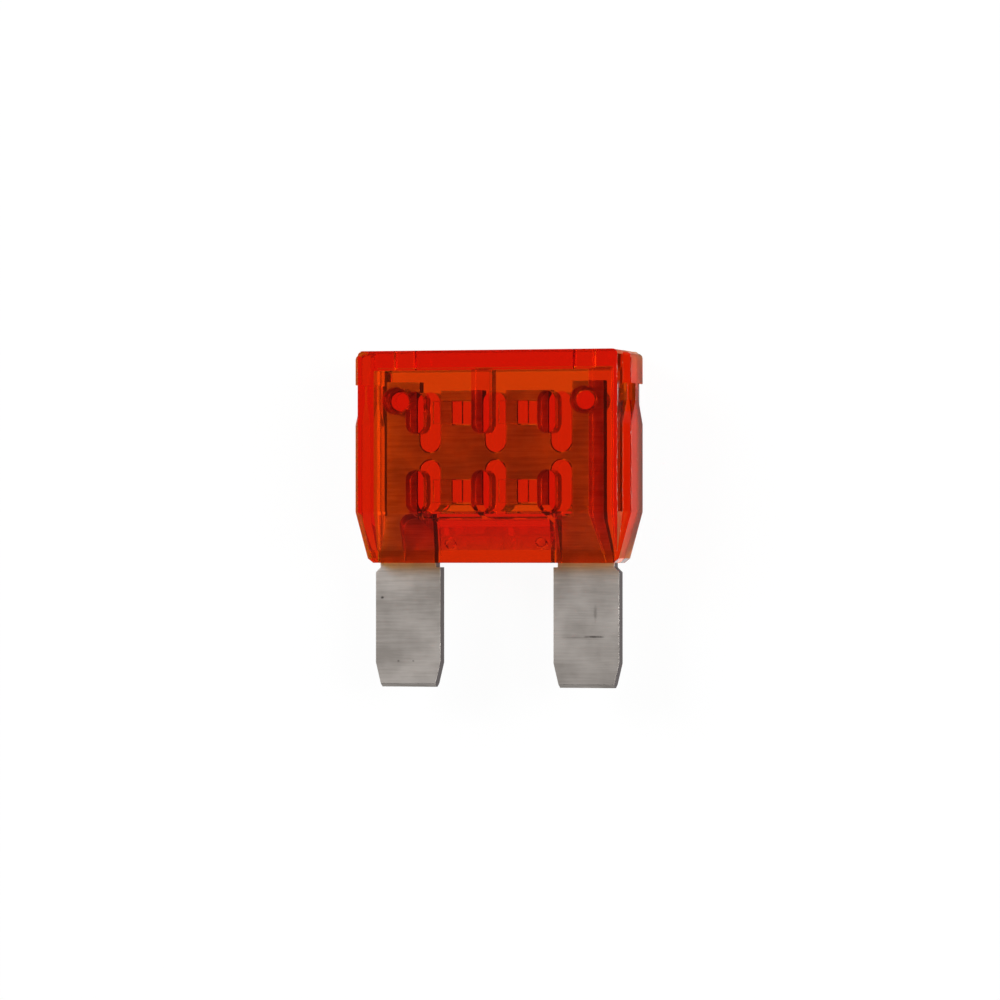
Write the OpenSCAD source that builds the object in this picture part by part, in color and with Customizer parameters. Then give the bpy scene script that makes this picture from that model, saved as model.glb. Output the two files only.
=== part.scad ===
// Maxi-size automotive blade fuse. Two clear moulded halves close round one stamped zinc strip.
// It lies on its rear face: X runs across the blades, Y towards the head, Z out of the front face.

/* [Housing] */
// Width over the side wings
housing_w = 29.2; // [28.6:0.1:31]
// Width of the front and rear faces
face_w = 27.4; // [27:0.1:28.2]
// Length from the head to the end that the blades leave
housing_l = 21.6; // [20.5:0.1:24]
// Thickness of both halves together
housing_t = 8.9; // [8.4:0.1:11]
// Wall between the chamber and the front or rear face
skin_t = 1.2; // [0.8:0.1:1.5]
// Wall beside the chamber where the halves meet
side_wall_t = 1.2; // [1:0.1:1.4]
// Wall above the chamber where the halves meet
top_wall_t = 1.7; // [1.4:0.1:2.2]
// How far the chamber walls lean inwards over the chamber's depth
chamber_lean = 0.3; // [0.1:0.1:1]
// Radius of the corners of the head
head_r = 0.5; // [0.2:0.1:0.8]

/* [Tapered end] */
// Length of the wedge that leads into the fuse holder
nose_l = 5.2; // [4:0.1:5.6]
// Thickness of the wedge at its end
nose_t = 3.2; // [2.9:0.1:4.5]
// How far each side of the faces comes in along the wedge
nose_in = 0.75; // [0.3:0.05:0.8]
// How far each wing comes in along the wedge
wing_in = 1.45; // [1:0.05:1.6]
// Cut across the corners of the end
nose_corner = 0.45; // [0.2:0.05:0.6]

/* [Side wings] */
// Thickness of the wings
wing_t = 4.6; // [3:0.1:5.2]
// How far the wings stop short of the head
wing_drop = 0.3; // [0:0.05:0.6]
// Length of the shoulder that a fuse puller catches
shoulder_l = 3.1; // [2:0.1:4]
// Length of the thin stretch below the shoulder
grip_l = 1.7; // [1.2:0.1:2.4]
// Thickness of the thin stretch
grip_t = 1.2; // [0.9:0.1:1.6]
// Length over which the wing grows thick again
ramp_l = 2.4; // [1:0.1:3]

/* [Blades] */
// Thickness of the zinc strip
metal_t = 1.4; // [1:0.1:1.6]
// Width of a blade
blade_w = 6.9; // [6:0.1:7.2]
// Clear distance between the blades
blade_gap = 12; // [11.6:0.1:12.8]
// Length of the blades outside the housing
blade_l = 12.7; // [10:0.1:15]
// Length of the narrowing at the tip
tip_l = 2.5; // [1:0.1:3]
// How far each edge comes in at the tip
tip_in = 0.6; // [0.2:0.05:1]
// Bevel on both faces of the tip
tip_bevel = 0.35; // [0.1:0.05:0.45]
// Distance from the housing to the blade's shoulders
neck_l = 0.45; // [0.2:0.05:0.8]
// How far the inner shoulder stands out from the shank
inner_step = 0.45; // [0.2:0.05:0.6]
// Cut across the blade's outer shoulder
outer_cut = 0.5; // [0.3:0.05:0.8]

/* [Fusible link] */
// Distance of the link's necks below the head
link_drop = 10.7; // [10.3:0.1:10.8]
// Pitch of the necks across the strip
neck_pitch = 6.95; // [6.7:0.05:7.2]
// Width of the round-ended notches between the pads
notch_w = 2.3; // [2.1:0.1:2.5]
// Height of each neck
neck_h = 0.62; // [0.3:0.02:1.2]
// Height of the pads above the necks
pad_up = 6.7; // [6.5:0.1:7]
// Depth of the pads below the necks
pad_down = 5; // [4.9:0.1:5.1]
// Distance of a blade plate's upper edge below the head
plate_drop = 3.1; // [2.6:0.1:3.2]
// Width left of the plate outside the outer notches
column_w = 3.5; // [3.2:0.1:3.7]

/* [Ribs and posts] */
// Width of the oval posts
post_w = 1.9; // [1.4:0.1:2]
// Length of the oval posts
post_l = 4.3; // [3.6:0.1:4.4]
// Distance of the upper posts above the necks
post_up = 4.4; // [4:0.05:4.6]
// Distance of the lower posts below the necks
post_down = 3.6; // [3.4:0.05:3.8]
// How far the front posts stand to the left of the notches
post_shift = 0.9; // [0:0.05:1]
// Width of the square keys in the pads
key_w = 2.1; // [1.6:0.1:2.2]
// Height of the square keys
key_h = 2.3; // [1.8:0.1:2.4]
// Width of the raised pads in front of the keys
block_w = 3.1; // [2.9:0.1:3.4]
// Height of the raised pads above the skin
block_t = 0.5; // [0.3:0.1:1]
// Width of the round-topped land that clamps one blade
land_w = 2.7; // [2:0.1:2.8]
// Distance of the land's middle from the middle of the housing
land_x = 8.3; // [8.1:0.1:8.6]
// Half width of the solid plastic between the blades
bridge_x = 7; // [6.6:0.1:7.2]
// Distance of the front ledge's edge from the middle
ledge_x = 10.5; // [10.2:0.1:11]
// How far the ledge's edge runs outwards along the wedge
ledge_flare = 1.2; // [0.4:0.1:1.4]

/* [Weld pins] */
// Distance of the upper pins from the middle
upper_pin_x = 9.9; // [9.7:0.1:10]
// Distance of the upper pins below the head
upper_pin_drop = 5.1; // [5:0.1:5.5]
// Radius of the upper pins
upper_pin_r = 0.95; // [0.7:0.05:1]
// Radius of the bosses round the upper pins
upper_boss_r = 1.4; // [1.3:0.05:1.5]
// Distance of the lower pins from the middle
lower_pin_x = 4.9; // [4.4:0.1:5]
// Distance of the lower pins above the tapered end
lower_pin_rise = 2.4; // [2:0.1:3]
// Radius of the lower pins
lower_pin_r = 0.5; // [0.4:0.05:0.6]
// Length of a pin inside its socket
pin_hold = 1; // [0.6:0.1:1.2]

/* [Test openings] */
// Distance of the openings for a test probe from the middle
probe_x = 9.5; // [8.8:0.1:9.8]
// Width of an opening
probe_w = 2.4; // [1.6:0.1:3]
// Height of an opening
probe_h = 0.8; // [0.6:0.1:1.4]

/* [Fits] */
// Clearance between the plastic and the faces of the strip
face_gap = 0.03; // [0.02:0.01:0.06]
// Clearance between the plastic and the edges of the strip
edge_gap = 0.1; // [0.05:0.01:0.15]
// Clearance round a pin in its socket
pin_gap = 0.04; // [0.02:0.01:0.08]

/* [Hidden] */
$fn = 48;
cut = 1;
half_t = housing_t / 2;
total_l = housing_l + blade_l;
head_y = total_l / 2;
end_y = head_y - housing_l;
tip_y = -total_l / 2;
knee_y = end_y + nose_l;
link_y = head_y - link_drop;
upper_pin_y = head_y - upper_pin_drop;
lower_pin_y = end_y + lower_pin_rise;
crotch_y = link_y - post_down - post_l / 2 - edge_gap;
rows = [link_y + post_up, link_y - post_down];
necks = [-neck_pitch, 0, neck_pitch];
pads = [-neck_pitch / 2, neck_pitch / 2];
notch_end = neck_h / 2 + edge_gap;
metal_z = metal_t / 2;
pocket_z = metal_z + face_gap;
chamber_z = half_t - skin_t;
chamber_x = face_w / 2 - side_wall_t;
blade_in = blade_gap / 2;
blade_out = blade_in + blade_w;
shank_in = blade_in + inner_step;
shank_out = blade_out - outer_cut;
column_out = neck_pitch + notch_w / 2 + column_w;
window_w = key_w + 2 * edge_gap;
window_h = key_h + 2 * edge_gap;
peg_w = notch_w - 2 * edge_gap;
plate_hole_r = upper_pin_r + edge_gap;
plastic = [0.93, 0.27, 0.03, 0.75];
zinc = [0.62, 0.6, 0.57];

// Carries a profile drawn as (Y, Z) along X, centred on the middle.
module along_x(w) {
    rotate([90, 0, 90]) linear_extrude(w, center = true) children();
}

// Carries a profile drawn as (X, Z) along Y, from y0 to y1.
module along_y(y0, y1) {
    translate([0, y1, 0]) rotate([90, 0, 0]) linear_extrude(y1 - y0) children();
}

// A quarter round of the head's outline, from angle a0 on.
function head_corner(x, y, a0) =
    [for (i = [0 : 3]) [x + head_r * cos(a0 + 30 * i), y + head_r * sin(a0 + 30 * i)]];

// Outline of the housing seen from the front: straight sides, rounded head, narrowing end.
module outline(side_x, side_in, top_y) {
    end_x = side_x - side_in;
    polygon(concat(
        head_corner(side_x - head_r, top_y - head_r, 0),
        head_corner(head_r - side_x, top_y - head_r, 90),
        [
            [-side_x, knee_y], [-end_x - side_in * nose_corner / nose_l, end_y + nose_corner],
            [nose_corner - end_x, end_y], [end_x - nose_corner, end_y],
            [end_x + side_in * nose_corner / nose_l, end_y + nose_corner], [side_x, knee_y]
        ]));
}

// Upright or level slot with round ends, len long between its tips.
module oval(w, len) {
    hull_l = len - w;
    square([w, hull_l], center = true);
    for (s = [-1, 1]) translate([0, s * hull_l / 2]) circle(d = w);
}

// One half without its cavities: the wedge-ended body and its two wings.
module half_body() {
    intersection() {
        linear_extrude(half_t) outline(face_w / 2, nose_in, head_y);
        along_x(housing_w)
            polygon([
                [head_y + cut, 0], [head_y + cut, half_t], [knee_y, half_t],
                [end_y, nose_t / 2], [end_y, 0]
            ]);
    }
    wings();
}

// The wings that guide the fuse and give a puller its grip.
module wings() {
    top_y = head_y - wing_drop;
    grip_y = top_y - shoulder_l;
    intersection() {
        linear_extrude(wing_t / 2) outline(housing_w / 2, wing_in, top_y);
        along_x(housing_w + cut)
            polygon([
                [end_y, 0], [end_y, wing_t / 2], [grip_y - grip_l - ramp_l, wing_t / 2],
                [grip_y - grip_l, grip_t / 2], [grip_y, grip_t / 2], [grip_y, wing_t / 2],
                [top_y, wing_t / 2], [top_y, 0]
            ]);
    }
}

// The hollow round the strip: its walls lean, and its floor follows the wedge down to the blades.
module chamber() {
    floor_x = chamber_x - chamber_lean;
    intersection() {
        along_y(end_y - cut, head_y)
            polygon([
                [-chamber_x, 0], [-floor_x, chamber_z], [floor_x, chamber_z], [chamber_x, 0],
                [chamber_x, -cut], [-chamber_x, -cut]
            ]);
        along_x(housing_w)
            polygon([
                [head_y - top_wall_t, -cut], [head_y - top_wall_t, 0],
                [head_y - top_wall_t - chamber_lean, chamber_z], [knee_y, chamber_z],
                [end_y, pocket_z], [end_y, -cut]
            ]);
    }
}

// Plastic that fills the chamber again in both halves: bridge, clamp land and bosses.
module infill() {
    intersection() {
        translate([0, 0, pocket_z]) linear_extrude(half_t) {
            translate([-bridge_x, end_y]) square([2 * bridge_x, nose_l]);
            translate([-land_x, end_y]) {
                translate([-land_w / 2, 0]) square([land_w, nose_l - land_w / 2]);
                translate([0, nose_l - land_w / 2]) circle(d = land_w);
            }
            for (s = [-1, 1]) translate([s * upper_pin_x, upper_pin_y]) circle(upper_boss_r);
        }
        half_body();
    }
}

// The front half's own plastic: oval posts that press on the strip, a rib and four raised pads.
module front_posts() {
    translate([0, 0, pocket_z]) linear_extrude(chamber_z - pocket_z + skin_t / 2) {
        for (x = necks, y = rows) translate([x - post_shift, y]) oval(post_w, post_l);
        translate([-post_shift - post_w / 2, rows[0]])
            square([post_w, head_y - top_wall_t / 2 - rows[0]]);
    }
    side_ledge();
    translate([0, 0, chamber_z - block_t]) linear_extrude(block_t + skin_t / 2)
        for (x = pads, y = rows) translate([x - post_shift, y])
            square([block_w, key_h], center = true);
}

// The ledge that lies on the right blade's plate, inside the wall and down the wedge.
module side_ledge() {
    out_x = chamber_x + side_wall_t / 2;
    top_y = head_y - top_wall_t / 2;
    intersection() {
        translate([0, 0, pocket_z])
            linear_extrude(half_t)
                polygon([
                    [ledge_x, top_y], [out_x, top_y], [out_x, end_y],
                    [ledge_x + ledge_flare, end_y], [ledge_x, knee_y]
                ]);
        half_body();
    }
}

// The rear half's own plastic: posts and square keys that stand through the strip.
module rear_posts() {
    translate([0, 0, -metal_z]) linear_extrude(metal_z + chamber_z + skin_t / 2) {
        for (x = necks) {
            post_span(x, link_y + notch_end, rows[0] + post_l / 2);
            post_span(x, rows[1] - post_l / 2, link_y - notch_end);
        }
        for (x = pads, y = rows) translate([x, y]) square([key_w, key_h], center = true);
    }
}

// Section of a rear post in its notch, from y0 to y1.
module post_span(x, y0, y1) {
    translate([x, (y0 + y1) / 2]) oval(peg_w, y1 - y0);
}

// Solid plastic between the shanks of the blades, up to the seam.
module bridge() {
    bridge_w = 2 * (blade_in - edge_gap);
    translate([-bridge_w / 2, end_y, 0]) cube([bridge_w, nose_l, nose_t / 2]);
}

// Recess in the bridge for the pads and for the ends of the lower posts.
module pad_recess() {
    half_w = neck_pitch + notch_w / 2;
    translate([-half_w, crotch_y, -cut])
        cube([2 * half_w, link_y + pad_up + edge_gap - crotch_y, cut + pocket_z]);
}

// Pins on the left of each half, which the sockets on the right of the other half take.
module pins() {
    reach = pocket_z + pin_hold;
    translate([-upper_pin_x, upper_pin_y, -reach])
        cylinder(r = upper_pin_r, h = reach + chamber_z);
    translate([-lower_pin_x, lower_pin_y, -pin_hold])
        cylinder(r = lower_pin_r, h = 2 * pin_hold);
}

// Sockets for the other half's pins.
module sockets() {
    depth = pin_hold + face_gap;
    translate([upper_pin_x, upper_pin_y, -cut])
        cylinder(r = upper_pin_r + pin_gap, h = cut + pocket_z + depth);
    translate([lower_pin_x, lower_pin_y, -cut])
        cylinder(r = lower_pin_r + pin_gap, h = cut + depth);
}

// Openings in the head through which a probe touches each plate.
module probe_slots() {
    for (s = [-1, 1])
        translate([s * probe_x, 0, 0])
            along_y(head_y - top_wall_t - cut, head_y + cut) rotate(90) oval(probe_h, probe_w);
}

// One moulded half, its open side down on the plane z = 0. The children are its own posts.
module half() {
    difference() {
        union() {
            difference() {
                union() {
                    difference() {
                        half_body();
                        chamber();
                        blade_slots();
                    }
                    bridge();
                }
                pad_recess();
            }
            infill();
            children();
            pins();
        }
        sockets();
        probe_slots();
    }
}

// Room for the shanks of the blades through the tapered end.
module blade_slots() {
    for (s = [0, 1])
        mirror([s, 0, 0])
            translate([shank_in - inner_step - edge_gap, end_y - cut, -cut])
                cube([
                    shank_out - shank_in + inner_step + 2 * edge_gap,
                    cut + nose_l,
                    cut + pocket_z
                ]);
}

module housing_front() {
    color(plastic) translate([0, 0, half_t]) half() front_posts();
}

module housing_rear() {
    color(plastic) translate([0, 0, half_t]) rotate([0, 180, 0]) half() rear_posts();
}

// Outline of one blade with its shank and plate, on the right.
module blade_outline() {
    shoulder_y = end_y - neck_l;
    plate_y = head_y - plate_drop;
    plate_in = neck_pitch + notch_w / 2;
    polygon([
        [blade_in + tip_in, tip_y], [blade_out - tip_in, tip_y],
        [blade_out, tip_y + tip_l], [blade_out, shoulder_y - outer_cut],
        [shank_out, shoulder_y], [shank_out, end_y + outer_cut],
        [column_out, knee_y], [column_out, plate_y],
        [plate_in, plate_y], [plate_in, crotch_y],
        [shank_in, crotch_y], [shank_in, shoulder_y],
        [blade_in, shoulder_y], [blade_in, tip_y + tip_l]
    ]);
}

// Outline of the pads and of the necks that join them to the blade plates.
module link_outline() {
    half_w = neck_pitch + notch_w / 2 + cut;
    difference() {
        translate([-half_w, link_y - pad_down]) square([2 * half_w, pad_up + pad_down]);
        for (x = necks, s = [-1, 1])
            translate([x, link_y + s * (neck_h + notch_w) / 2]) {
                circle(d = notch_w);
                translate([-notch_w / 2, min(s, 0) * housing_l])
                    square([notch_w, housing_l]);
            }
        for (x = pads, y = rows) translate([x, y]) square([window_w, window_h], center = true);
    }
}

// The strip: two blades and the link, stamped from one sheet, with bevelled tips.
module fuse_element() {
    color(zinc)
        translate([0, 0, half_t])
            difference() {
                intersection() {
                    translate([0, 0, -metal_z]) {
                        for (s = [0, 1]) mirror([s, 0, 0]) linear_extrude(metal_t) blade_outline();
                        linear_extrude(metal_t) link_outline();
                    }
                    along_x(housing_w)
                        polygon([
                            [tip_y, tip_bevel - metal_z], [tip_y + tip_bevel, -metal_z],
                            [head_y, -metal_z], [head_y, metal_z],
                            [tip_y + tip_bevel, metal_z], [tip_y, metal_z - tip_bevel]
                        ]);
                }
                for (s = [-1, 1])
                    translate([s * upper_pin_x, upper_pin_y, -metal_t])
                        cylinder(r = plate_hole_r, h = 2 * metal_t);
            }
}

housing_front();
housing_rear();
fuse_element();
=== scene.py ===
"""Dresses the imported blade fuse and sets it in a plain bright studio.

The fuse lies on its rear face: X across the blades, Y towards the head, Z out of the front face.
"""

import logging
import math
from dataclasses import dataclass, field
from enum import Enum
from typing import Any

import bpy
from mathutils import Matrix, Vector


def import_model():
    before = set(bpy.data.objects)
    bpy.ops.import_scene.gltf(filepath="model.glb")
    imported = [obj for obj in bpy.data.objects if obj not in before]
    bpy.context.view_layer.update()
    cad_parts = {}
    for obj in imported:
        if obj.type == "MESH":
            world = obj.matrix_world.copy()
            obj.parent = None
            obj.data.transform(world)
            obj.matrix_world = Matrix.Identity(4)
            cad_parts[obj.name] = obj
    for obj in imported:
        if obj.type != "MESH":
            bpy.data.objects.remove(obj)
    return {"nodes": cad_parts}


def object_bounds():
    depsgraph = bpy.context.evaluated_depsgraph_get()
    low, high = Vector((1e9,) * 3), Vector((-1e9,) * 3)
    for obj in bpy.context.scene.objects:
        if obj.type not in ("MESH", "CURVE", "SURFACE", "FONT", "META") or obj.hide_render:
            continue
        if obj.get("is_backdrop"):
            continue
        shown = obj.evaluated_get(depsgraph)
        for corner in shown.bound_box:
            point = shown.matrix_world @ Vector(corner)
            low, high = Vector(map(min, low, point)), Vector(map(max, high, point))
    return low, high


LOG = logging.getLogger("blade_fuse")

MM = 0.001
WHITE = (1.0, 1.0, 1.0, 1.0)
BEVEL_SAMPLES = 4

# Light crosses up to a dozen plastic faces on its way down and back, so it may bounce often.
BOUNCES = 24
CLEAR_BOUNCES = 16

# The photograph's frame, and where the fuse's middle stands in it, in pixels.
FRAME_PX = 1000
FUSE_MIDDLE_PX = (498.6, 519.3)
PX_PER_MM = 9.79

Socket = Any
Node = bpy.types.Node


class Part(Enum):
    """The frame's CAD nodes."""

    HOUSING_FRONT = "housing_front"
    HOUSING_REAR = "housing_rear"
    FUSE_ELEMENT = "fuse_element"


def linear(hex_colour: str) -> tuple[float, float, float, float]:
    """Turns an sRGB hex colour into a linear RGBA colour.

    Args:
        hex_colour: Six hex digits after a hash sign, such as "#d23c0a".

    Returns:
        Linear red, green and blue with an alpha of 1.
    """
    channels = [int(hex_colour[i : i + 2], 16) / 255 for i in (1, 3, 5)]
    red, green, blue = (
        c / 12.92 if c <= 0.04045 else ((c + 0.055) / 1.055) ** 2.4 for c in channels
    )
    return red, green, blue, 1.0


def add(tree: bpy.types.NodeTree, kind: str, **settings: Any) -> Node:
    """Adds a node to a tree with its settings and links.

    Args:
        tree: The node tree that gets the node.
        kind: The node's type name without the leading "ShaderNode".
        **settings: Attributes by their own name, and inputs as in_NAME or in_NUMBER, with
            underscores for spaces. An input takes a value, an output socket to link from, or
            a node, which stands for its first output.

    Returns:
        The new node.
    """
    node = tree.nodes.new("ShaderNode" + kind)
    for name, value in settings.items():
        if not name.startswith("in_"):
            setattr(node, name, value)
    for name, value in settings.items():
        if not name.startswith("in_"):
            continue
        key = name[3:]
        socket = node.inputs[int(key)] if key.isdigit() else node.inputs[key.replace("_", " ")]
        if isinstance(value, bpy.types.Node):
            value = value.outputs[0]
        if isinstance(value, bpy.types.NodeSocket):
            tree.links.new(value, socket)
        else:
            socket.default_value = value
    return node


def new_material(name: str) -> tuple[bpy.types.Material, bpy.types.NodeTree]:
    """Makes an empty node material.

    Args:
        name: The material's name.

    Returns:
        The material and its node tree.
    """
    material = bpy.data.materials.new(name)
    material.use_nodes = True
    material.node_tree.nodes.clear()
    return material, material.node_tree


@dataclass(frozen=True)
class ClearPolycarbonate:
    """Clear orange polycarbonate, injection moulded in a polished mould.

    The dye lets red through, takes part of the green and nearly all the blue. Most of the green
    goes in the first millimetre, so each broad face takes a share of it besides what the depth
    takes. That share also holds painted shade: the coloured shade that the housing casts on the
    paper beneath it is painted into the broad faces. The outer sides take a deeper share, which
    is partly a deeper red and partly painted shade. The index is a little under the 1.585 of bulk
    polycarbonate, because the wedge passes light in the photograph.

    The outer sides and the wings start side_from_mm and wing_from_mm from the middle, across.
    The values that end in _from are the least share of a face's normal on one axis that makes
    it broad, upright or sloping.
    """

    ior: float = 1.5
    roughness: float = 0.03
    roughness_swing: float = 0.5
    side_roughness: float = 0.8
    # The face and side tints are partly the dye's colour and partly painted shade.
    face_dye_and_shade_tint: str = "#ed9784"
    side_red_and_shade_tint: str = "#b0705a"
    lit_tint: str = "#c8b82a"
    density_per_m: float = 2600.0
    passes: tuple[float, float, float] = (0.9995, 0.885, 0.0)
    side_from_mm: float = 12.5
    wing_from_mm: float = 14.2
    broad_from: float = 0.5
    upright_from: float = 0.7
    slope_from: float = 0.1
    edge_mm: float = 0.12
    sink_mm: float = 6.0
    sink_depth_mm: float = 0.012
    grain_mm: float = 0.35
    grain_depth_mm: float = 0.0015

    def build(self) -> bpy.types.Material:
        """Makes the material.

        Returns:
            A glossy refracting material with a dyed volume, faint sink waves, mould grain and
            matt wing sides.
        """
        # Moulded clear plastic: a thin wall looks orange, a thick one deep red, and every edge
        # of the inside shows through the front.
        material, tree = new_material("polycarbonate_moulded_clear_orange")
        place = add(tree, "TexCoord").outputs["Object"]
        geometry = add(tree, "NewGeometry").outputs
        grain = add(
            tree, "TexNoise", in_Vector=place, in_Scale=1 / (self.grain_mm * MM), in_Detail=2.0
        )
        side, matt = self.sides(tree, place, geometry["True Normal"])
        gloss = add(
            tree, "MapRange", in_Value=grain,
            in_To_Min=self.roughness * (1 - self.roughness_swing),
            in_To_Max=self.roughness * (1 + self.roughness_swing),
        )
        rough = add(tree, "Math", operation="MULTIPLY", in_0=matt, in_1=self.side_roughness)
        # The base colour holds painted shade on the broad faces and the outer sides.
        body = add(
            tree, "BsdfPrincipled", in_Base_Color=self.tint_and_shade(tree, geometry["True Normal"], side),
            in_Roughness=add(tree, "Math", operation="MAXIMUM", in_0=gloss, in_1=rough),
            in_IOR=self.ior, in_Transmission_Weight=1.0,
            in_Normal=self.relief(tree, place, grain, geometry["Backfacing"]),
        )
        dye = add(
            tree, "VolumeAbsorption", in_Color=(*self.passes, 1), in_Density=self.density_per_m
        )
        # The lamps' light reaches the strip straight through the plastic. Its tint is fitted to
        # the strip's orange brown in the photograph.
        clear = add(tree, "BsdfTransparent", in_Color=linear(self.lit_tint))
        surface = add(
            tree, "MixShader", in_0=add(tree, "LightPath").outputs["Is Shadow Ray"], in_1=body,
            in_2=clear,
        )
        add(tree, "OutputMaterial", in_Surface=surface, in_Volume=dye)
        return material

    def sides(self, tree: bpy.types.NodeTree, place: Socket, normal: Socket) -> tuple[Node, Node]:
        """Finds the housing's outer sides, and the part of them that is matt.

        Args:
            tree: The material's node tree.
            place: The object coordinates.
            normal: The mesh's own normal.

        Returns:
            A node that is 1 on the outer sides, and one that is 1 on the matt faces.
        """
        facing = add(tree, "SeparateXYZ", in_0=normal).outputs
        across = add(
            tree, "Math", operation="ABSOLUTE", in_0=add(tree, "SeparateXYZ", in_0=place)
        )
        sideways = add(tree, "Math", operation="ABSOLUTE", in_0=facing[0])
        lengthways = add(tree, "Math", operation="ABSOLUTE", in_0=facing[1])
        far_out = add(
            tree, "Math", operation="GREATER_THAN", in_0=across, in_1=self.side_from_mm * MM
        )
        upright = add(
            tree, "Math", operation="GREATER_THAN", in_0=sideways, in_1=self.upright_from
        )
        side = add(tree, "Math", operation="MULTIPLY", in_0=far_out, in_1=upright)
        # The wings' side faces and their slopes are matt: in the photograph they mirror nothing.
        wing = add(
            tree, "Math", operation="GREATER_THAN", in_0=across, in_1=self.wing_from_mm * MM
        )
        slope = add(
            tree, "Math", operation="GREATER_THAN", in_0=lengthways, in_1=self.slope_from
        )
        either = add(tree, "Math", operation="MAXIMUM", in_0=wing, in_1=slope)
        return side, add(tree, "Math", operation="MULTIPLY", in_0=side, in_1=either)

    def tint_and_shade(self, tree: bpy.types.NodeTree, normal: Socket, side: Node) -> Socket:
        """Gives each face the share of the light that it lets through.

        Broad faces take their share, which is partly dye and partly painted shade of the paper
        beneath, and the outer sides a deeper one, as in the photograph, which is partly a deeper
        red and partly painted shade.
        The other walls on edge take none, so that they keep a lighter orange.

        Args:
            tree: The material's node tree.
            normal: The mesh's own normal.
            side: A node that is 1 on the housing's outer sides.

        Returns:
            The colour for the shader.
        """
        facing = add(tree, "SeparateXYZ", in_0=normal).outputs
        upward = add(tree, "Math", operation="ABSOLUTE", in_0=facing[2])
        broad = add(tree, "Math", operation="GREATER_THAN", in_0=upward, in_1=self.broad_from)
        face = add(
            tree, "Mix", data_type="RGBA", in_0=broad, in_6=WHITE, in_7=linear(self.face_dye_and_shade_tint)
        ).outputs[2]
        return add(
            tree, "Mix", data_type="RGBA", in_0=side, in_6=face, in_7=linear(self.side_red_and_shade_tint)
        ).outputs[2]

    def relief(
        self, tree: bpy.types.NodeTree, place: Socket, grain: Node, backfacing: Socket
    ) -> Node:
        """Shades the rounded edges, the sink waves and the mould grain.

        Args:
            tree: The material's node tree.
            place: The object coordinates.
            grain: The mould grain's noise.
            backfacing: 1 where a face is met from inside the plastic.

        Returns:
            The node that gives the shading normal.
        """
        # Sink waves a few millimetres wide bend the reflections, as on any moulded wall. Faces
        # that are met from inside the plastic have none, because they would turn black.
        outside = add(tree, "Math", operation="SUBTRACT", in_0=1.0, in_1=backfacing)
        sink = add(
            tree, "TexNoise", in_Vector=place, in_Scale=1 / (self.sink_mm * MM), in_Detail=1.0
        )
        # The mould's edges are a tenth of a millimetre round, which draws the bright edge lines.
        rounded = add(tree, "Bevel", in_Radius=self.edge_mm * MM, samples=BEVEL_SAMPLES)
        waves = add(
            tree, "Bump", in_Distance=self.sink_depth_mm * MM, in_Strength=outside,
            in_Height=sink, in_Normal=rounded,
        )
        return add(
            tree, "Bump", in_Distance=self.grain_depth_mm * MM, in_Strength=outside,
            in_Height=grain, in_Normal=waves,
        )


@dataclass(frozen=True)
class Mark:
    """One handling mark on a blade, in millimetres from the fuse's middle."""

    x: float
    y: float
    half_w: float
    half_h: float
    colour: str = "#3a3230"
    strength: float = 0.8


MARKS = (
    Mark(x=10.3, y=-11.95, half_w=1.25, half_h=0.14),
    Mark(x=8.3, y=-12.0, half_w=1.6, half_h=0.10, strength=0.3),
    Mark(x=10.4, y=-9.6, half_w=0.22, half_h=1.0, strength=0.35),
    Mark(x=-12.2, y=-8.0, half_w=0.22, half_h=0.16, strength=0.9),
    Mark(x=-10.5, y=-14.5, half_w=0.16, half_h=0.13, strength=0.6),
    Mark(x=-8.9, y=-14.5, half_w=0.14, half_h=0.12, strength=0.6),
)


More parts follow.
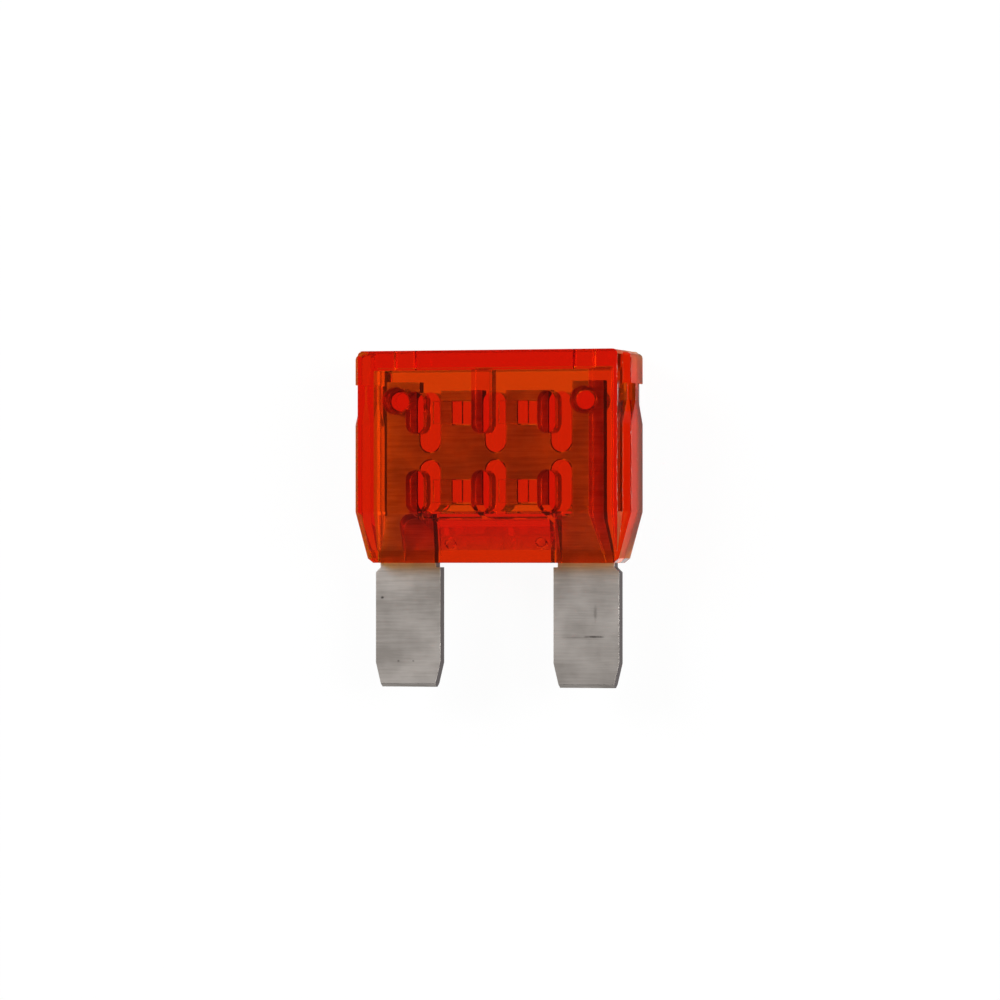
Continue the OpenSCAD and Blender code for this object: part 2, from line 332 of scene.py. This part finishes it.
@dataclass(frozen=True)
class RolledZinc:
    """Zinc alloy strip, rolled matt and stamped to shape.

    Fine rolling lines run across the blades over cloudy stains, and the stamped edges are
    darker, as in the photograph: their dark colour is painted shade.

    A mark is solid out to solid_at times its half size and gone at clear_at, and ragged is how
    far its rim wanders. A face with less than flat_from of its normal on Z is a stamped edge.
    """

    face: str = "#c3bcb6"
    stain: str = "#9d9690"
    # The stamped edges' dark colour is painted shade.
    edge_shade: str = "#4d4342"
    flat_from: float = 0.6
    roughness: float = 0.43
    line_roughness: float = 0.15
    line_mm: float = 0.25
    line_stretch: float = 0.06
    line_depth_mm: float = 0.004
    line_share: float = 0.7
    cloud_mm: float = 4.0
    stain_from: float = 0.65
    stain_to: float = 1.05
    edge_mm: float = 0.08
    ragged_mm: float = 0.4
    ragged: float = 0.8
    solid_at: float = 0.7
    clear_at: float = 1.4

    def build(self) -> bpy.types.Material:
        """Makes the material.

        Returns:
            A matt metal with rolling lines, cloudy stains, handling marks and edges darkened with
            painted shade.
        """
        # Rolled zinc is a dull warm grey with soft streaks, and it mirrors no shapes.
        material, tree = new_material("zinc_rolled_stamped")
        place = add(tree, "TexCoord").outputs["Object"]
        stretched = add(tree, "Mapping", in_Vector=place, in_Scale=(self.line_stretch, 1.0, 1.0))
        # Rolling lines are too fine to show at this distance, so they are drawn coarser.
        lines = add(
            tree, "TexNoise", in_Vector=stretched, in_Scale=1 / (self.line_mm * MM), in_Detail=3.0
        )
        clouds = add(
            tree, "TexNoise", in_Vector=place, in_Scale=1 / (self.cloud_mm * MM), in_Detail=3.0
        )
        # Clouds and lines together give the faces their uneven grey, as dull zinc has.
        streaks = add(tree, "Math", operation="MULTIPLY", in_0=lines, in_1=self.line_share)
        uneven = add(tree, "Math", operation="ADD", in_0=streaks, in_1=clouds)
        stains = add(
            tree, "MapRange", in_Value=uneven, in_From_Min=self.stain_from,
            in_From_Max=self.stain_to,
        )
        face = add(
            tree, "Mix", data_type="RGBA", in_0=stains, in_6=linear(self.face),
            in_7=linear(self.stain),
        ).outputs[2]
        # Faces that turn sideways get the dark edge colour: painted shade on the stamped edges.
        facing = add(
            tree, "SeparateXYZ", in_0=add(tree, "NewGeometry").outputs["True Normal"]
        ).outputs
        upward = add(tree, "Math", operation="ABSOLUTE", in_0=facing[2])
        edge_shade_mask = add(tree, "Math", operation="LESS_THAN", in_0=upward, in_1=self.flat_from)
        colour = add(
            tree, "Mix", data_type="RGBA", in_0=edge_shade_mask, in_6=self.marks(tree, place, face),
            in_7=linear(self.edge_shade),
        ).outputs[2]
        grooves = add(tree, "Math", operation="MULTIPLY", in_0=lines, in_1=self.line_roughness)
        rough = add(tree, "Math", operation="ADD", in_0=grooves, in_1=self.roughness)
        # Stamping leaves the edges slightly round, so each one catches a thin line of light.
        rounded = add(tree, "Bevel", in_Radius=self.edge_mm * MM, samples=BEVEL_SAMPLES)
        bump = add(
            tree, "Bump", in_Distance=self.line_depth_mm * MM, in_Strength=1.0, in_Height=lines,
            in_Normal=rounded,
        )
        metal = add(
            tree, "BsdfPrincipled", in_Base_Color=colour, in_Metallic=1.0, in_Roughness=rough,
            in_Normal=bump,
        )
        add(tree, "OutputMaterial", in_Surface=metal)
        return material

    def marks(self, tree: bpy.types.NodeTree, place: Socket, colour: Socket) -> Socket:
        """Draws the handling marks: dark smudges and spots on the blades.

        Args:
            tree: The material's node tree.
            place: The object coordinates.
            colour: The clean metal's colour.

        Returns:
            The colour with the marks on it.
        """
        wobble = add(tree, "TexNoise", in_Vector=place, in_Scale=1 / (self.ragged_mm * MM))
        wander = add(tree, "Math", operation="MULTIPLY", in_0=wobble, in_1=self.ragged)
        for mark in MARKS:
            offset = add(
                tree, "Mapping", in_Vector=place,
                in_Location=(-mark.x / mark.half_w, -mark.y / mark.half_h, 0.0),
                in_Scale=(1 / (mark.half_w * MM), 1 / (mark.half_h * MM), 0.0),
            )
            distance = add(tree, "VectorMath", operation="LENGTH", in_0=offset).outputs["Value"]
            rim = add(tree, "Math", operation="ADD", in_0=distance, in_1=wander)
            cover = add(
                tree, "MapRange", in_Value=rim, in_From_Min=self.clear_at,
                in_From_Max=self.solid_at, in_To_Max=mark.strength,
            )
            colour = add(
                tree, "Mix", data_type="RGBA", in_0=cover, in_6=colour, in_7=linear(mark.colour)
            ).outputs[2]
        return colour


@dataclass(frozen=True)
class StudioPaper:
    """Matt white paper, lit so brightly that it reads as plain white.

    The plastic shows the same white paper through itself and mirrors it in its side faces.
    """

    glow: float = 0.95
    fibre_mm: float = 1.5
    darkest: float = 0.86
    lightest: float = 0.9

    def build(self) -> bpy.types.Material:
        """Makes the material.

        Returns:
            White paper that the camera sees as white, with a faint shadow of the fuse.
        """
        # Matt uncoated paper has no shine, and its fibres make it very slightly uneven.
        material, tree = new_material("paper_matt_white")
        place = add(tree, "TexCoord").outputs["Object"]
        fibres = add(tree, "TexNoise", in_Vector=place, in_Scale=1 / (self.fibre_mm * MM))
        tone = add(
            tree, "MapRange", in_Value=fibres, in_To_Min=self.darkest, in_To_Max=self.lightest
        )
        paper = add(tree, "BsdfDiffuse", in_Color=tone)
        white = add(tree, "Emission", in_Color=WHITE, in_Strength=1.0)
        # Metal and plastic show the same white paper as the camera sees. The rest of the mix
        # stays plain paper, which keeps the fuse's shadow.
        path = add(tree, "LightPath").outputs
        seen = add(
            tree, "Math", operation="MAXIMUM", in_0=path["Is Camera Ray"],
            in_1=path["Is Glossy Ray"],
        )
        seen = add(
            tree, "Math", operation="MAXIMUM", in_0=seen, in_1=path["Is Transmission Ray"]
        )
        share = add(tree, "Math", operation="MULTIPLY", in_0=seen, in_1=self.glow)
        surface = add(tree, "MixShader", in_0=share, in_1=paper, in_2=white)
        add(tree, "OutputMaterial", in_Surface=surface)
        return material


@dataclass
class Housing:
    """The two moulded halves, with a hair of air at the seam."""

    parts: tuple[Part, ...] = (Part.HOUSING_FRONT, Part.HOUSING_REAR)
    seam_mm: float = 0.012
    finish: ClearPolycarbonate = field(default_factory=ClearPolycarbonate)

    def dress(self, objects: dict[str, bpy.types.Object]) -> None:
        """Gives both halves their plastic and the air at the seam.

        Args:
            objects: The frame's CAD objects by node name.
        """
        plastic = self.finish.build()
        for part in self.parts:
            half = objects[part.value]
            half.data.materials.clear()
            half.data.materials.append(plastic)
            air = half.modifiers.new("seam_air", "DISPLACE")
            air.mid_level = 0.0
            air.strength = -self.seam_mm * MM
            LOG.info("dressed %s", part.value)


@dataclass
class FuseElement:
    """The stamped zinc strip."""

    part: Part = Part.FUSE_ELEMENT
    finish: RolledZinc = field(default_factory=RolledZinc)

    def dress(self, objects: dict[str, bpy.types.Object]) -> None:
        """Gives the strip its metal.

        Args:
            objects: The frame's CAD objects by node name.
        """
        strip = objects[self.part.value]
        strip.data.materials.clear()
        strip.data.materials.append(self.finish.build())
        LOG.info("dressed %s", self.part.value)


@dataclass(frozen=True)
class SoftLamp:
    """A square soft lamp, with its place in millimetres from what it faces."""

    name: str
    place_mm: tuple[float, float, float]
    watts: float
    side_mm: float = 300.0

    def hang(self, target: Vector) -> None:
        """Hangs the lamp so that it faces a point.

        Args:
            target: The point, in metres.
        """
        lamp = bpy.data.lights.new(self.name, "AREA")
        lamp.energy = self.watts
        lamp.size = self.side_mm * MM
        hung = bpy.data.objects.new(self.name, lamp)
        offset = Vector(self.place_mm) * MM
        hung.location = target + offset
        hung.rotation_euler = offset.to_track_quat("Z", "Y").to_euler()
        bpy.context.scene.collection.objects.link(hung)


@dataclass
class Studio:
    """White paper, soft lamps and the camera of the photograph.

    The walls light the fuse. A direction's share on Z turns wall into ceiling between wall_to
    and ceiling_from, and its share on Y turns the near side into the rest between near_to and
    rest_from.
    """

    floor_half_mm: float = 400.0
    floor_drop_mm: float = 0.02
    wall_strength: float = 0.7
    wall_to: float = 0.45
    ceiling_strength: float = 0.05
    ceiling_from: float = 0.9
    near_share: float = 0.15
    near_to: float = -0.6
    rest_from: float = -0.1
    lamps: tuple[SoftLamp, ...] = (
        SoftLamp("key", (-430.0, 260.0, 330.0), 3.9),
        SoftLamp("fill", (430.0, 60.0, 330.0), 2.7),
    )
    distance_mm: float = 510.0
    right_deg: float = 15.9
    down_deg: float = 0.6
    sensor_mm: float = 36.0
    clip_mm: float = 10.0
    finish: StudioPaper = field(default_factory=StudioPaper)

    def build(self, middle: Vector) -> None:
        """Sets up the floor, the world, the lamps and the camera.

        Args:
            middle: The middle of the fuse's box, in metres.
        """
        self.lay_floor()
        self.fill_world()
        for lamp in self.lamps:
            lamp.hang(middle)
        self.place_camera(middle)

    def lay_floor(self) -> None:
        """Lays the sheet of paper under the fuse."""
        half = self.floor_half_mm * MM
        mesh = bpy.data.meshes.new("paper")
        corners = [(-half, -half, 0), (half, -half, 0), (half, half, 0), (-half, half, 0)]
        mesh.from_pydata(corners, [], [(0, 1, 2, 3)])
        paper = bpy.data.objects.new("paper", mesh)
        paper.location.z = -self.floor_drop_mm * MM
        mesh.materials.append(self.finish.build())
        bpy.context.scene.collection.objects.link(paper)
        paper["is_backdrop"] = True

    def fill_world(self) -> None:
        """Fills the world with soft light, brightest at the walls of the studio."""
        world = bpy.data.worlds.new("studio")
        bpy.context.scene.world = world
        world.use_nodes = True
        tree = world.node_tree
        tree.nodes.clear()
        toward = add(
            tree, "SeparateXYZ", in_0=add(tree, "TexCoord").outputs["Generated"]
        ).outputs
        # The ceiling and the near side are dim, so that the face and the wedge mirror no veil.
        level = add(
            tree, "MapRange", in_Value=toward[2], in_From_Min=self.wall_to,
            in_From_Max=self.ceiling_from, in_To_Min=self.wall_strength,
            in_To_Max=self.ceiling_strength,
        )
        near = add(
            tree, "MapRange", in_Value=toward[1], in_From_Min=self.near_to,
            in_From_Max=self.rest_from, in_To_Min=self.near_share,
        )
        level = add(tree, "Math", operation="MULTIPLY", in_0=level, in_1=near)
        soft = add(tree, "Background", in_Color=WHITE, in_Strength=level)
        add(tree, "OutputWorld", in_Surface=soft)

    def place_camera(self, middle: Vector) -> None:
        """Puts the camera where the photographer's stood, looking down on the fuse.

        Args:
            middle: The middle of the fuse's box, in metres.
        """
        right, down = math.radians(self.right_deg), math.radians(self.down_deg)
        back = Vector(
            (math.sin(right) * math.cos(down), -math.sin(down), math.cos(right) * math.cos(down))
        )
        side = Vector((0, 1, 0)).cross(back).normalized()
        up = back.cross(side)
        shift_x = (FRAME_PX / 2 - FUSE_MIDDLE_PX[0]) / PX_PER_MM * MM
        shift_y = (FUSE_MIDDLE_PX[1] - FRAME_PX / 2) / PX_PER_MM * MM
        aim = middle + side * shift_x + up * shift_y
        place = aim + back * self.distance_mm * MM
        lens = bpy.data.cameras.new("camera")
        lens.sensor_width = self.sensor_mm
        lens.lens = self.sensor_mm * self.distance_mm * PX_PER_MM / FRAME_PX
        lens.clip_start = self.clip_mm * MM
        camera = bpy.data.objects.new("camera", lens)
        turn = Matrix((side, up, back)).transposed()
        camera.matrix_world = Matrix.Translation(place) @ turn.to_4x4()
        bpy.context.scene.collection.objects.link(camera)
        bpy.context.scene.camera = camera


def main() -> None:
    """Loads the frame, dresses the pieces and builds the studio."""
    logging.basicConfig(level=logging.INFO, format="%(name)s: %(message)s")
    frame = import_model()
    cad_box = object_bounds()
    scene = bpy.context.scene
    scene.view_settings.view_transform = "Standard"
    scene.cycles.max_bounces = BOUNCES
    scene.cycles.transmission_bounces = BOUNCES
    scene.cycles.transparent_max_bounces = CLEAR_BOUNCES
    Housing().dress(frame["nodes"])
    FuseElement().dress(frame["nodes"])
    low, high = (Vector(corner) for corner in cad_box)
    Studio().build((low + high) / 2)


if __name__ == "__main__":
    main()
